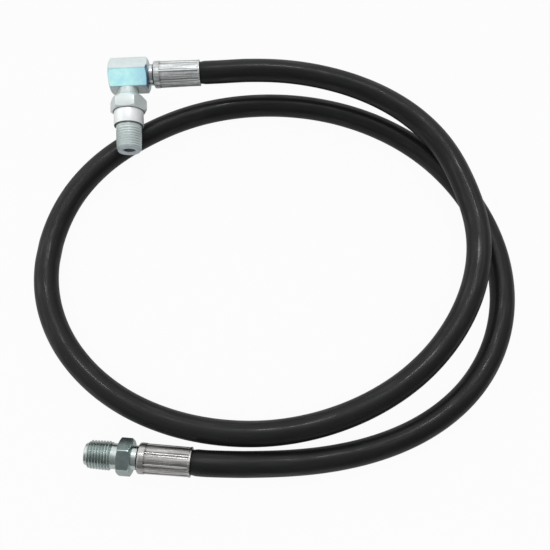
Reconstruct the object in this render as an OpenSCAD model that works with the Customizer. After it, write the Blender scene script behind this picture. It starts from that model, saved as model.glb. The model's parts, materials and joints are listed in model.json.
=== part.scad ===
// Hydraulic hose assembly: one length of wire-braided hose, lying in two loose loops on a floor,
// with a straight male pipe end crimped on one end and a 90 degree block elbow with a live male
// swivel crimped on the other.
//
// Frame: millimetres, +Z up. The origin is the centre of the straight end's nose. +X runs along the
// straight end towards its hose. The floor lies below the origin, where a corner of the straight
// end's hexagon rests.

/* [Hose] */
// Bore of the hose
hose_bore = 6.4; // [6:0.1:7]
// Wall of the inner rubber tube
tube_wall = 1.3; // [1:0.05:1.5]
// Thickness of the wire braid
braid_wall = 0.5; // [0.4:0.05:0.6]
// Wall of the rubber cover
cover_wall = 1.15; // [1:0.05:1.4]
// How far the crimp squeezes the cover in, on the radius
crimp_squeeze = 0.5; // [0.3:0.05:0.7]
// Length over which the cover swells back outside the ferrule
swell_length = 8; // [6:0.5:12]

/* [Hose tail, the same on both ends] */
// Flow bore of the tail
tail_bore = 4; // [3.4:0.1:4.4]
// Height of the barbs over the stem
barb_height = 0.3; // [0.15:0.05:0.4]
// Distance from barb to barb
barb_pitch = 3.6; // [3:0.1:4.5]
// Number of barbs
barb_count = 5; // [3:1:5]
// Length of the stem inside the hose
stem_length = 20.3; // [19:0.1:21]
// Diameter of the shoulder in front of the ferrule
shoulder_d = 11.45; // [10.6:0.05:12.5]
// Length of that shoulder
shoulder_length = 2.4; // [2:0.1:5]
// Diameter of the groove that holds the ferrule's lip
lip_groove_d = 8; // [7.2:0.1:8.8]
// Diameter of the collar that stops the hose
stop_d = 10.4; // [9.8:0.1:10.8]
// Length of that collar
stop_length = 1.5; // [1:0.1:2.5]

/* [Ferrule, the same on both ends] */
// Length of the ferrule
ferrule_length = 25.2; // [24:0.1:30]
// Wall of the ferrule at its front band
ferrule_wall = 1.55; // [1.3:0.05:1.9]
// Length of the plain band at its front
band_length = 3.4; // [2.6:0.1:5]
// Length of the lip that grips the tail's groove
lip_length = 2; // [1.4:0.1:2.5]
// How much the crimped part narrows towards the hose, on the radius
crimp_taper = 0.2; // [0.1:0.05:0.4]
// Number of ridges left between the crimping dies
ridge_count = 8; // [6:1:10]
// Height of a ridge
ridge_height = 0.2; // [0.1:0.05:0.3]
// Width of a ridge
ridge_width = 0.9; // [0.6:0.1:1.4]
// Length of the plain rim at the hose end
rim_length = 1; // [0.6:0.1:1.6]
// Turn of the straight end's ridges round its axis, in degrees
straight_crimp_roll = 29; // [0:0.5:45]
// Turn of the elbow end's ridges round its axis, in degrees
elbow_crimp_roll = 10.5; // [0:0.5:45]

/* [Pipe thread, the same on both ends] */
// Distance from crest to crest
thread_pitch = 1.411; // [1.3:0.001:1.6]
// Diameter of the bar that the thread is cut on, which caps the last crests
thread_bar_d = 13.7; // [13.5:0.05:14.2]
// Diameter over the crests at the small end
thread_tip_d = 13.25; // [13:0.05:13.4]
// Flat left on a crest
crest_flat = 0.15; // [0.1:0.01:0.25]
// Flat at the bottom of a groove
root_flat = 0.1; // [0.05:0.01:0.2]
// Diameter at the start of the thread's lead-in chamfer
lead_in_d = 11.7; // [11.2:0.1:12.2]
// Flow bore through the threaded part
nipple_bore = 6.2; // [5.4:0.1:6.8]
// Chamfer at the mouth of that bore
mouth_chamfer = 0.8; // [0.4:0.1:1]

/* [Straight end] */
// Diameter of the nose in front of the thread
nose_d = 10.3; // [9.6:0.1:10.8]
// Length of the nose
nose_length = 1.5; // [1:0.1:2.5]
// Length of the thread
straight_thread_length = 11.4; // [10:0.1:14]
// Diameter of the neck behind the thread
neck_d = 12; // [11:0.1:13]
// Length of the neck
neck_length = 3; // [2:0.1:5]
// Width across the flats of the hexagon
straight_hex = 15.9; // [15:0.1:17]
// Length of the hexagon
straight_hex_length = 6.7; // [5:0.1:9]
// How far inside the flats the hexagon's turned end faces stop, on the radius
straight_hex_inset = 0.1; // [0:0.05:0.4]
// How deep the wide flow bore goes
nipple_bore_depth = 20; // [17:0.5:21]

/* [Elbow block] */
// Width across the flats of the hexagonal bar
block_hex = 17; // [16:0.1:19]
// Length of the bar
block_length = 21.2; // [19:0.1:24]
// How much of that length lies behind the swivel's axis, away from the hose
block_behind = 9.7; // [8.6:0.1:11]
// How far inside the flats the bar's turned end faces stop, on the radius
block_inset = 0.4; // [0.1:0.1:1]
// Diameter of the sockets for the tail and the swivel stem
socket_d = 8; // [7:0.1:9]
// Depth of the tail's socket
tail_socket_depth = 5; // [3.5:0.1:6]
// Depth of the stem's socket
stem_socket_depth = 3.5; // [2.5:0.1:4.5]
// Diameter of the drilling from the stem's socket
passage_d = 4.5; // [3.6:0.1:5.2]
// How much wider the drilling from the tail's socket is, which the other one runs into
cross_passage_extra = 0.5; // [0.3:0.1:1]

/* [Swivel stem] */
// Diameter of the neck between the block and the swivel
stem_neck_d = 11.3; // [10.6:0.1:12]
// Length of that neck
stem_neck_length = 4.3; // [3:0.1:6]
// Diameter of the barrel that the swivel turns on
barrel_d = 9; // [8.6:0.1:9.4]
// Length of the barrel
barrel_length = 15.8; // [14.5:0.1:18]
// Distance from the neck to the middle of the retaining wire
wire_at = 3.4; // [2.6:0.1:4.5]
// Diameter of the retaining wire
wire_d = 1.6; // [1.2:0.1:1.8]
// Opening between the ends of the retaining wire, in degrees
wire_gap_angle = 12; // [6:1:24]
// Distance from the neck to the seal groove
seal_groove_at = 8; // [7:0.1:9]
// Width of the seal groove
seal_groove_width = 3.6; // [3.5:0.05:4.2]
// Depth of the seal groove
seal_groove_depth = 1.35; // [1.25:0.05:1.45]
// Width of each backup ring
backup_width = 0.9; // [0.7:0.05:0.95]

/* [Swivel body] */
// Width across the flats of the swivel's hexagon
swivel_hex = 17.5; // [16.5:0.1:19]
// Length of that hexagon
swivel_hex_length = 8.4; // [8:0.1:11]
// How far inside the flats that hexagon's turned face at the block stops, on the radius
swivel_hex_inset = 0.9; // [0.2:0.1:1.8]
// How far inside the flats its turned face at the collar stops, on the radius
swivel_back_inset = 0.35; // [0.1:0.05:0.6]
// Diameter of the collar
swivel_collar_d = 16; // [15:0.1:16.4]
// Length of the collar
swivel_collar_length = 8; // [6:0.1:9]
// Length of the swivel's thread
swivel_thread_length = 14.3; // [12:0.1:16]

/* [Clearances] */
// Radial gap between layers of the hose
layer_gap = 0.05; // [0.03:0.01:0.08]
// Radial gap between the hose and the metal that grips it
grip_gap = 0.1; // [0.05:0.01:0.15]
// Gap between the ends of pieces that meet end to end
end_gap = 0.2; // [0.15:0.01:0.3]
// Dark gap between a tail's shoulder and its ferrule
ferrule_gap = 0.4; // [0.3:0.05:0.6]
// Radial gap of a brazed spigot in its socket
braze_gap = 0.05; // [0.02:0.01:0.08]
// Radial running gap of the swivel on its barrel
running_gap = 0.05; // [0.03:0.01:0.08]
// Gap between the seals and the walls around them
seal_gap = 0.02; // [0.01:0.01:0.04]

/* [Hidden] */
$fn = 96;

zinc = [0.80, 0.86, 0.86];
zinc_blue = [0.66, 0.80, 0.84];
crimped_steel = [0.62, 0.61, 0.60];
bright_wire = [0.72, 0.72, 0.72];
rubber_black = [0.15, 0.15, 0.16];
seal_black = [0.10, 0.10, 0.11];
backup_white = [0.90, 0.88, 0.82];

// How far bars and cutters run into what they join or past what they cut
overlap = 1;

// The hose, from the inside out
hose_sides = 12;
flat_share = cos(180 / hose_sides);
tube_in = hose_bore / 2;
tube_out = tube_in + tube_wall;
braid_in = tube_out + layer_gap;
braid_out = braid_in + braid_wall;
cover_in = braid_out + layer_gap;
hose_r = cover_in + cover_wall;
gripped_r = hose_r - crimp_squeeze;
mouth_swell = 0.05;

// The tail: lengths run from the face that the shoulder stands on
barb_r = tube_in * flat_share - grip_gap;
stem_r = barb_r - barb_height;
ferrule_start = shoulder_length + ferrule_gap;
stop_start = ferrule_start + lip_length + end_gap;
stem_start = stop_start + stop_length;
hose_start = stem_start + end_gap;
stem_end = stem_start + stem_length;
ferrule_end = ferrule_start + ferrule_length;
stem_tip_chamfer = 0.4;
barb_share = 0.8;

// The ferrule
cavity_r = gripped_r + grip_gap;
band_r = cavity_r + ferrule_wall;
rim_r = band_r - crimp_taper;
lip_r = lip_groove_d / 2 + grip_gap;
band_chamfer = 0.4;

// The thread: taper 1 in 16 on the diameter, 60 degree grooves
thread_taper = 1 / 32;
thread_slope = tan(30);
thread_depth = (thread_pitch - crest_flat - root_flat) / 2 / thread_slope;

// The straight end, along +X
hex_start = nose_length + straight_thread_length + neck_length;
straight_tail_start = hex_start + straight_hex_length;
hex_corner_share = 1 / cos(30);
chamfer_slope = tan(30);
steep_chamfer_slope = tan(50);
straight_roll = -12.2;
axis_height = straight_hex / 2 * hex_corner_share * cos(straight_roll);
floor_z = -axis_height;
nose_chamfer = 0.3;

// The elbow: where its two axes cross, and the way it lies
elbow_x = -6.5;
elbow_y = 201.05;
elbow_height = 25.4;
elbow_yaw = 7.5;
swivel_droop = 9;
swivel_roll = 3;
elbow_at = [elbow_x, elbow_y, floor_z + elbow_height];
elbow_tail_start = block_length - block_behind;

// The swivel: lengths run along its axis from where the axes cross
block_face = block_hex / 2;
neck_end = block_face + stem_neck_length;
barrel_end = neck_end + barrel_length;
swivel_start = neck_end + end_gap;
swivel_hex_end = swivel_start + swivel_hex_length;
swivel_collar_end = swivel_hex_end + swivel_collar_length;
swivel_end = swivel_collar_end + swivel_thread_length;
counterbore_end = barrel_end + end_gap;
counterbore_r = barrel_d / 2 + running_gap;
wire_ring_r = barrel_d / 2 + running_gap / 2;
wire_z = neck_end + wire_at;
groove_start = neck_end + seal_groove_at;
groove_end = groove_start + seal_groove_width;
groove_r = barrel_d / 2 - seal_groove_depth;
seal_r = (counterbore_r - groove_r) / 2 - seal_gap;
seal_ring_r = (counterbore_r + groove_r) / 2;
seal_z = (groove_start + groove_end) / 2;

// The route of the hose between its straight ends: x, y and how far the hose is lifted off the
// floor. It runs from the straight end once round on the floor, then climbs over itself.
route = [
    [90.3, 2.5, 0.5], [116.1, 6.8, 0], [141.1, 14.7, 0], [163.9, 27.1, 0],
    [182.8, 44.6, 0], [195.8, 67.4, 0], [201, 93.4, 0], [198.1, 119.4, 0],
    [187.9, 144.2, 0], [172, 165.6, 0], [151.4, 182.4, 0], [127.5, 193.9, 0],
    [102.3, 200.1, 0], [76.3, 201.3, 0], [50.1, 197.7, 0], [25.3, 189.1, 0],
    [2.9, 175.4, 0], [-16.8, 157.9, 0], [-30.6, 136.2, 0], [-37.3, 110.8, 0],
    [-36.2, 84.6, 0.5], [-26.2, 60.3, 1], [-8.7, 40.2, 1.5], [13.1, 26.1, 2],
    [37.9, 17.6, 3], [63.3, 14.5, 4], [89.3, 16.2, 5.5], [114.8, 23.3, 7],
    [137.9, 35.1, 8.5], [157.9, 51.5, 10], [173.6, 72.6, 11.5], [183.6, 97.3, 12.5],
    [185.9, 123.9, 13], [178.8, 150.5, 13.5], [166.4, 174.8, 14], [147.4, 192.9, 15],
    [123.6, 204.4, 16.5], [98.3, 210, 18], [72.3, 211.1, 19]
];

function unit(v) = v / norm(v);

// A point on the straight end's axis, a distance from its nose
function on_straight(length) = [length, 0, 0];

// A point on the elbow's hose axis, a distance from where the axes cross
function on_elbow(length) = elbow_at + length * [cos(elbow_yaw), sin(elbow_yaw), 0];

function floor_point(p) = [p[0], p[1], floor_z + hose_r + p[2]];

straight_mouth = straight_tail_start + ferrule_end;
elbow_mouth = elbow_tail_start + ferrule_end;
path = concat(
    [
        on_straight(straight_tail_start + hose_start),
        on_straight(straight_mouth),
        on_straight(straight_mouth + swell_length)
    ],
    [for (p = route) floor_point(p)],
    [
        on_elbow(elbow_mouth + swell_length),
        on_elbow(elbow_mouth),
        on_elbow(elbow_tail_start + hose_start)
    ]
);
last = len(path) - 1;

// The least gap between the hose and itself, measured from points along it to its far stretches
step_share = 1 / 8;
near_steps = 5;
function between(a, b, share) = a + share * (b - a);
function to_segment(p, a, b) =
    let (share = min(1, max(0, (p - a) * (b - a) / ((b - a) * (b - a)))))
    norm(p - between(a, b, share));
least_centres = min([
    for (i = [0 : last - 1])
        for (share = [0 : step_share : 1])
            for (j = [0 : last - 1])
                if (abs(i - j) >= near_steps)
                    to_segment(between(path[i], path[i + 1], share), path[j], path[j + 1])
]);
hose_length = sum_lengths(last);
function sum_lengths(count) =
    count == 0 ? 0 : norm(path[count] - path[count - 1]) + sum_lengths(count - 1);
echo(least_gap_between_strands = least_centres - 2 * hose_r, hose_length = hose_length);

// A tube along the path: rings of points that face the mean of the runs on either side
function run(i) = unit(path[i + 1] - path[i]);
function heading(i) = unit(run(min(i, last - 1)) + run(max(i - 1, 0)));
function side_of(t) = unit(cross([0, 0, 1], t));
function ring(i, r) =
    let (t = heading(i), s = side_of(t), u = cross(t, s))
    [for (k = [0 : hose_sides - 1])
        path[i] + r * cos(360 * k / hose_sides) * s + r * sin(360 * k / hose_sides) * u];

// Triangles of a band between ring rows a and b, seen from the side that they face
function band(a, b) = [
    for (k = [0 : hose_sides - 1])
        let (n = (k + 1) % hose_sides)
        each [[a + k, b + n, a + n], [a + k, b + k, b + n]]
];

module hose_layer(inner, outer) {
    rings = last + 1;
    points = [
        for (i = [0 : last]) each ring(i, outer(i)),
        for (i = [0 : last]) each ring(i, inner)
    ];
    outside = rings * hose_sides;
    faces = [
        for (i = [0 : last - 1]) each band(i * hose_sides, (i + 1) * hose_sides),
        for (i = [0 : last - 1])
            each band(outside + (i + 1) * hose_sides, outside + i * hose_sides),
        each band(outside, 0),
        each band(last * hose_sides, outside + last * hose_sides)
    ];
    polyhedron(points, faces, convexity = 10);
}

// The cover is narrow under a ferrule, a little wider at its mouth, and full size beyond
function cover_r(i) =
    let (from_end = min(i, last - i))
    from_end == 0 ? gripped_r : from_end == 1 ? gripped_r + mouth_swell : hose_r;

module hose_cover() {
    color(rubber_black)
        hose_layer(cover_in, function(i) cover_r(i));
}

module wire_braid() {
    color(bright_wire)
        hose_layer(braid_in, function(i) braid_out);
}

module inner_tube() {
    color(seal_black)
        hose_layer(tube_in, function(i) tube_out);
}

// Places: each turns +Z into the named axis
module along_straight() {
    rotate([0, 90, 0])
        children();
}

module at_elbow() {
    translate(elbow_at)
        rotate([0, 0, elbow_yaw])
            rotate([swivel_droop, 0, 0])
                children();
}

module along_elbow_hose() {
    at_elbow()
        rotate([0, 90, 0])
            children();
}

module along_swivel() {
    at_elbow()
        rotate([90, 0, 0])
            children();
}

// A round bar from one height to another
module bar(from, to, r) {
    translate([0, 0, from])
        cylinder(h = to - from, r = r);
}

// A hexagonal bar from one height to another, its corners turned off at both ends. Each turned
// face starts at radius low or high on the end face and rises at 30 degrees, or as low_slope says.
module hex_bar(from, to, across, low, high, low_slope = chamfer_slope) {
    corner = across / 2 * hex_corner_share;
    past_corner = corner + overlap;
    intersection() {
        translate([0, 0, from])
            linear_extrude(to - from)
                circle(r = corner, $fn = 6);
        rotate_extrude()
            polygon([
                [0, from], [low, from], [past_corner, from + (past_corner - low) * low_slope],
                [past_corner, to - (past_corner - high) * chamfer_slope], [high, to], [0, to]
            ]);
    }
}

// Tapered pipe thread from its lead-in at height from, cut as grooves round the bar. The bar carries
// on behind the thread by run_on, inside the shoulder that it grows out of.
function crest_radius(u) = min(thread_bar_d / 2, thread_tip_d / 2 + u * thread_taper);
function root_radius(u) = thread_tip_d / 2 + u * thread_taper - thread_depth;

module pipe_thread(from, length, run_on = 0) {
    lead_in = (thread_tip_d - lead_in_d) / 2;
    first = lead_in + crest_flat / 2;
    grooves = floor((length - first) / thread_pitch);
    crest = [for (i = [0 : grooves]) crest_radius(first + i * thread_pitch)];
    middle = [for (i = [0 : grooves - 1]) first + (i + 0.5) * thread_pitch];
    root = [for (u = middle) root_radius(u)];
    groove_outline = [
        for (i = [0 : grooves - 1])
            each [
                [crest[i], middle[i] - root_flat / 2 - (crest[i] - root[i]) * thread_slope],
                [root[i], middle[i] - root_flat / 2],
                [root[i], middle[i] + root_flat / 2],
                [crest[i + 1], middle[i] + root_flat / 2 + (crest[i + 1] - root[i]) * thread_slope]
            ]
    ];
    translate([0, 0, from])
        rotate_extrude()
            polygon(concat(
                [[0, 0], [lead_in_d / 2, 0], [crest[0], lead_in]],
                groove_outline,
                [[crest[grooves], length + run_on], [0, length + run_on]]
            ));
}

// The flow bore of a threaded end, open at height mouth and running towards height bottom
module nipple_drilling(mouth, bottom) {
    way = sign(bottom - mouth);
    r = nipple_bore / 2;
    rotate_extrude()
        polygon([
            [0, mouth - way * overlap], [r + mouth_chamfer + overlap, mouth - way * overlap],
            [r, mouth + way * mouth_chamfer], [r, bottom], [0, bottom]
        ]);
}

// Shoulder, lip groove, hose stop and barbed stem, from the face that it stands on
module hose_tail(from) {
    bar(from, from + shoulder_length, shoulder_d / 2);
    bar(from, from + stop_start, lip_groove_d / 2);
    bar(from + stop_start, from + stem_start, stop_d / 2);
    bar(from, from + stem_end - stem_tip_chamfer, stem_r);
    translate([0, 0, from + stem_end - stem_tip_chamfer])
        cylinder(h = stem_tip_chamfer, r1 = stem_r, r2 = stem_r - stem_tip_chamfer / 2);
    for (i = [0 : barb_count - 1])
        translate([0, 0, from + stem_end - stem_tip_chamfer - (i + 1) * barb_pitch])
            cylinder(h = barb_pitch * barb_share, r1 = barb_r, r2 = stem_r);
}

// A crimped ferrule from the front face of its band
module ferrule(from) {
    crimp_length = ferrule_length - band_length;
    difference() {
        union() {
            bar(from + band_chamfer, from + band_length, band_r);
            translate([0, 0, from])
                cylinder(h = band_chamfer, r1 = band_r - band_chamfer, r2 = band_r);
            translate([0, 0, from + band_length])
                cylinder(h = crimp_length, r1 = band_r - ridge_height, r2 = rim_r - ridge_height);
            intersection() {
                translate([0, 0, from + band_length])
                    cylinder(h = crimp_length, r1 = band_r, r2 = rim_r);
                translate([0, 0, from + band_length])
                    linear_extrude(crimp_length)
                        for (i = [0 : ridge_count - 1])
                            rotate(i * 360 / ridge_count)
                                translate([cavity_r + ferrule_wall / 2, -ridge_width / 2])
                                    square([ferrule_wall, ridge_width]);
            }
            bar(from + ferrule_length - rim_length, from + ferrule_length, rim_r);
        }
        bar(from - overlap, from + lip_length + overlap, lip_r);
        bar(from + lip_length, from + ferrule_length + overlap, cavity_r);
    }
}

module straight_body() {
    color(zinc)
        along_straight()
            difference() {
                union() {
                    bar(nose_chamfer, nose_length + overlap, nose_d / 2);
                    cylinder(h = nose_chamfer, r1 = nose_d / 2 - nose_chamfer, r2 = nose_d / 2);
                    pipe_thread(nose_length, straight_thread_length);
                    bar(
                        nose_length + straight_thread_length - overlap, hex_start + overlap,
                        neck_d / 2
                    );
                    rotate(straight_roll)
                        hex_bar(
                            hex_start, straight_tail_start, straight_hex,
                            straight_hex / 2 - straight_hex_inset,
                            straight_hex / 2 - straight_hex_inset
                        );
                    hose_tail(straight_tail_start);
                }
                nipple_drilling(0, nipple_bore_depth);
                bar(
                    nipple_bore_depth - overlap, straight_tail_start + stem_end + overlap,
                    tail_bore / 2
                );
            }
}

module straight_ferrule() {
    color(crimped_steel)
        along_straight()
            rotate(straight_crimp_roll)
                ferrule(straight_tail_start + ferrule_start);
}

module elbow_body() {
    color(zinc_blue)
        difference() {
            along_elbow_hose()
                hex_bar(
                    -block_behind, elbow_tail_start, block_hex,
                    block_hex / 2 - block_inset, block_hex / 2 - block_inset
                );
            along_elbow_hose() {
                bar(elbow_tail_start - tail_socket_depth, block_length, socket_d / 2);
                bar(-passage_d, block_length, (passage_d + cross_passage_extra) / 2);
            }
            along_swivel() {
                bar(block_face - stem_socket_depth, block_hex, socket_d / 2);
                bar(0, block_hex, passage_d / 2);
            }
        }
}

module elbow_tail() {
    spigot_start = elbow_tail_start - tail_socket_depth;
    color(zinc)
        along_elbow_hose()
            difference() {
                union() {
                    bar(spigot_start, elbow_tail_start + overlap, socket_d / 2 - braze_gap);
                    hose_tail(elbow_tail_start);
                }
                bar(spigot_start - overlap, elbow_tail_start + stem_end + overlap, tail_bore / 2);
            }
}

module elbow_ferrule() {
    color(crimped_steel)
        along_elbow_hose()
            rotate(elbow_crimp_roll)
                ferrule(elbow_tail_start + ferrule_start);
}

// The groove that the retaining wire lies in, half in the barrel and half in the swivel
module wire_groove() {
    translate([0, 0, wire_z])
        rotate_extrude()
            translate([wire_ring_r, 0])
                circle(r = wire_d / 2 + running_gap);
}

module swivel_stem() {
    spigot_start = block_face - stem_socket_depth;
    barrel_chamfer = 0.5;
    color(zinc)
        along_swivel()
            difference() {
                union() {
                    bar(spigot_start, block_face + overlap, socket_d / 2 - braze_gap);
                    bar(block_face, neck_end, stem_neck_d / 2);
                    bar(block_face, barrel_end - barrel_chamfer, barrel_d / 2);
                    translate([0, 0, barrel_end - barrel_chamfer])
                        cylinder(
                            h = barrel_chamfer, r1 = barrel_d / 2, r2 = barrel_d / 2 - barrel_chamfer
                        );
                }
                bar(spigot_start - overlap, barrel_end + overlap, passage_d / 2);
                wire_groove();
                difference() {
                    bar(groove_start, groove_end, barrel_d);
                    bar(groove_start - overlap, groove_end + overlap, groove_r);
                }
            }
}

module retaining_wire() {
    color(bright_wire)
        along_swivel()
            translate([0, 0, wire_z])
                rotate_extrude(angle = 360 - wire_gap_angle)
                    translate([wire_ring_r, 0])
                        circle(r = wire_d / 2);
}

module swivel_o_ring() {
    color(seal_black)
        along_swivel()
            translate([0, 0, seal_z])
                rotate_extrude()
                    translate([seal_ring_r, 0])
                        circle(r = seal_r);
}

// A flat ring that keeps the O-ring from creeping out of its groove
module backup_ring(from) {
    color(backup_white)
        along_swivel()
            difference() {
                bar(from, from + backup_width, counterbore_r - seal_gap);
                bar(from - overlap, from + backup_width + overlap, groove_r + seal_gap);
            }
}

module backup_ring_inner() {
    backup_ring(groove_start + seal_gap);
}

module backup_ring_outer() {
    backup_ring(groove_end - seal_gap - backup_width);
}

module swivel_body() {
    color(zinc)
        along_swivel()
            difference() {
                union() {
                    rotate(swivel_roll)
                        hex_bar(
                            swivel_start, swivel_hex_end, swivel_hex,
                            swivel_hex / 2 - swivel_hex_inset, swivel_hex / 2 - swivel_back_inset,
                            steep_chamfer_slope
                        );
                    bar(swivel_hex_end - overlap, swivel_collar_end, swivel_collar_d / 2);
                    translate([0, 0, swivel_end])
                        mirror([0, 0, 1])
                            pipe_thread(0, swivel_thread_length, overlap);
                }
                bar(swivel_start - overlap, counterbore_end, counterbore_r);
                nipple_drilling(swivel_end, counterbore_end - overlap);
                wire_groove();
            }
}

hose_cover();
wire_braid();
inner_tube();
straight_body();
straight_ferrule();
elbow_body();
elbow_tail();
elbow_ferrule();
swivel_stem();
retaining_wire();
swivel_o_ring();
backup_ring_inner();
backup_ring_outer();
swivel_body();
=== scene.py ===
"""Looks of the hydraulic hose assembly: cord, fittings, materials, floor, lights and camera.

Lengths are in millimetres until they are handed to Blender, which gets metres. Each turned piece
is made as rings of points round its own axis, so hexagons, crimp ridges and the helical threads
are all in the mesh. A place along an end is measured from the straight end's nose, or from where
the axes of the elbow and the swivel meet.
"""
import json
import math

import bmesh
import bpy
import numpy as np
from mathutils import Matrix, Vector


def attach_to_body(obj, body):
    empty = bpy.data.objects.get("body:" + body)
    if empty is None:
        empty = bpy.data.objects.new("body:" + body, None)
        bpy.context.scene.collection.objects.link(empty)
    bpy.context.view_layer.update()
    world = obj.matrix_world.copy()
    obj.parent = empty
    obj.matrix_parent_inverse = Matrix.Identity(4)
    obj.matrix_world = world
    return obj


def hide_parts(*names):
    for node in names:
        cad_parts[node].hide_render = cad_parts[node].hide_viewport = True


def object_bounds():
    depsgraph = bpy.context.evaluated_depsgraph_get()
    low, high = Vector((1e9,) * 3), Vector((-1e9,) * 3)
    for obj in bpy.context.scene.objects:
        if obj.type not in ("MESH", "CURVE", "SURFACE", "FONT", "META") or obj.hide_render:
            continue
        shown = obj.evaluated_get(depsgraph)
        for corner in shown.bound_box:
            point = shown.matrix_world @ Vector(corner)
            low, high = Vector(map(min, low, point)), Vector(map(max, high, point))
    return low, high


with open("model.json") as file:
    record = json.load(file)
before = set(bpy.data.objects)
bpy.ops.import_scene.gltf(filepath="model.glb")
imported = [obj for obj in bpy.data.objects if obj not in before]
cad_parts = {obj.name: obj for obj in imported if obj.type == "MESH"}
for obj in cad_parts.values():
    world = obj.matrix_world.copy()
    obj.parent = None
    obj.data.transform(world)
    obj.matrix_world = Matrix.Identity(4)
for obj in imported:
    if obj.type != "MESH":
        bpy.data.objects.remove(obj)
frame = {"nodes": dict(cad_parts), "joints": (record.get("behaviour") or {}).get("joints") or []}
cad_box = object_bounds()
MM = 0.001

# ---------------------------------------------------------------- sizes, as in the CAD source
STRAIGHT_HEX, BLOCK_HEX, SWIVEL_HEX = 15.9, 17.0, 17.5     # across flats
STRAIGHT_ROLL, SWIVEL_ROLL = -12.2, 3.0                    # turn of the hexagons, degrees
FLOOR = -STRAIGHT_HEX / 2 / math.cos(math.radians(30)) * math.cos(math.radians(STRAIGHT_ROLL))

SWIVEL = frame["joints"][0]
SWIVEL_AXIS = Vector(SWIVEL["axis"]).normalized()
ELBOW_AT = Vector(SWIVEL["pos_m"]) / MM
ELBOW_DIR = Vector((0, 0, 1)).cross(SWIVEL_AXIS).normalized()

# The hose: outer and inner radii of its layers, then its radius in a ferrule and at its mouth
HOSE_R, BRAID_R, LINING_R = 6.25, 5.05, 4.5
COVER_IN, BRAID_IN, LINING_IN = 5.1, 4.55, 3.2
GRIPPED_R, LEAVING_R = 5.75, 5.8
SWELL, RUN_STRAIGHT = 2.5, 8.0      # how soon it is full size, and how far it runs on straight

# The straight end, along its axis
THREAD_START, THREAD_END = 1.5, 12.9
HEX_START, STRAIGHT_TAIL = 15.9, 22.6
BORE_STEP = 20.0                    # where the flow bore narrows to the tail's
NOSE_R, NOSE_TURN_R, NECK_R = 4.85, 5.15, 6.0

# The elbow's block, along the tail's axis: from BLOCK_BEHIND behind the swivel's axis to ELBOW_TAIL
BLOCK_BEHIND, TAIL_SOCKET, ELBOW_TAIL = 9.7, 6.5, 11.5
BLOCK_DRILL_END, BLOCK_DRILL_R = -4.5, 2.5
SOCKET_R, SPIGOT_R = 4.0, 3.95

# The stem and the swivel, along the swivel's axis
STEM_SOCKET, BLOCK_FLAT, NECK_END, STEM_END = 5.0, 8.5, 12.8, 28.6
SWIVEL_START, SWIVEL_HEX_END, COLLAR_END, SWIVEL_END = 13.0, 21.4, 29.4, 43.7
WIRE_FROM, WIRE_AT, WIRE_TO = 15.4, 16.2, 17.0
SEALS_FROM, SEALS_TO, SEALS_R = 20.8, 24.4, 3.15
STEM_BORE_R, STEM_NECK_R, BARREL_R = 2.25, 5.65, 4.5
COUNTERBORE_END, COUNTERBORE_R, COLLAR_R = 28.8, 4.55, 8.0

# Either tail, from where its shoulder starts
SHOULDER, SHOULDER_R, GROOVE_R = 2.4, 5.725, 4.0
STOP_AT, STOP_END, STOP_R = 5.0, 6.5, 5.2
BARBS, BARB_STEP, BARB_R = 5, 3.6, 2.99
TAIL_LENGTH, TAIL_R, TAIL_BORE_R = 26.8, 2.69, 2.0

# Either ferrule: it and the hose start at FERRULE_AT and HOSE_AT from where the shoulder starts
FERRULE_AT, HOSE_AT = 2.8, 6.7
FERRULE_LENGTH, DIES = 25.2, 8
BAND_LENGTH, BAND_R = 3.4, 7.4
RIM_LENGTH, RIM_R = 1.0, 7.2
LIP_LENGTH, LIP_R, SLEEVE_BORE_R = 2.0, 4.1, 5.85
DIE_DEPTH, DIE_FLATNESS = 0.14, 0.25    # how deep the dies press, and how flat: 1 is an octagon
RIDGE_HEIGHT, RIDGE_WIDTH = 0.19, 0.34

# Either taper pipe thread: its radius grows by 1 in 32 from the tip, up to the bar's. The bore
# that opens there has a chamfered mouth.
PITCH, ROOT_DEPTH, TAPER_RUN = 1.411, 1.005, 32
TIP_R, BAR_R, LEAD_IN_R = 6.625, 6.85, 5.85
BORE_R, CHAMFER_R, CHAMFER_DEPTH = 3.1, 3.9, 0.8

# How far a hexagon's turned-off corners run along the axis for each millimetre inward
CORNER_SLOPE, SWIVEL_BACK_SLOPE = 0.577, 1.19

# The hose between its straight ends: x, y and lift off the floor
ROUTE = [
    (90.3, 2.5, 0.5), (116.1, 6.8, 0), (141.1, 14.7, 0), (163.9, 27.1, 0), (182.8, 44.6, 0),
    (195.8, 67.4, 0), (201, 93.4, 0), (198.1, 119.4, 0), (187.9, 144.2, 0), (172, 165.6, 0),
    (151.4, 182.4, 0), (127.5, 193.9, 0), (102.3, 200.1, 0), (76.3, 201.3, 0), (50.1, 197.7, 0),
    (25.3, 189.1, 0), (2.9, 175.4, 0), (-16.8, 157.9, 0), (-30.6, 136.2, 0), (-37.3, 110.8, 0),
    (-36.2, 84.6, 0.5), (-26.2, 60.3, 1), (-8.7, 40.2, 1.5), (13.1, 26.1, 2), (37.9, 17.6, 3),
    (63.3, 14.5, 4), (89.3, 16.2, 5.5), (114.8, 23.3, 7), (137.9, 35.1, 8.5), (157.9, 51.5, 10),
    (173.6, 72.6, 11.5), (183.6, 97.3, 12.5), (185.9, 123.9, 13), (178.8, 150.5, 13.5), (166.4, 174.8, 14),
    (147.4, 192.9, 15), (123.6, 204.4, 16.5), (98.3, 210, 18), (72.3, 211.1, 19),
]


# ---------------------------------------------------------------- objects and meshes
def in_scene(name, data):
    """A new object in the scene that shows the data."""
    made = bpy.data.objects.new(name, data)
    bpy.context.scene.collection.objects.link(made)
    return made


def new_mesh(name, points, faces):
    """A mesh from points in millimetres."""
    mesh = bpy.data.meshes.new(name)
    mesh.from_pydata([tuple(p) for p in np.asarray(points) * MM], [], faces)
    return mesh


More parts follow.
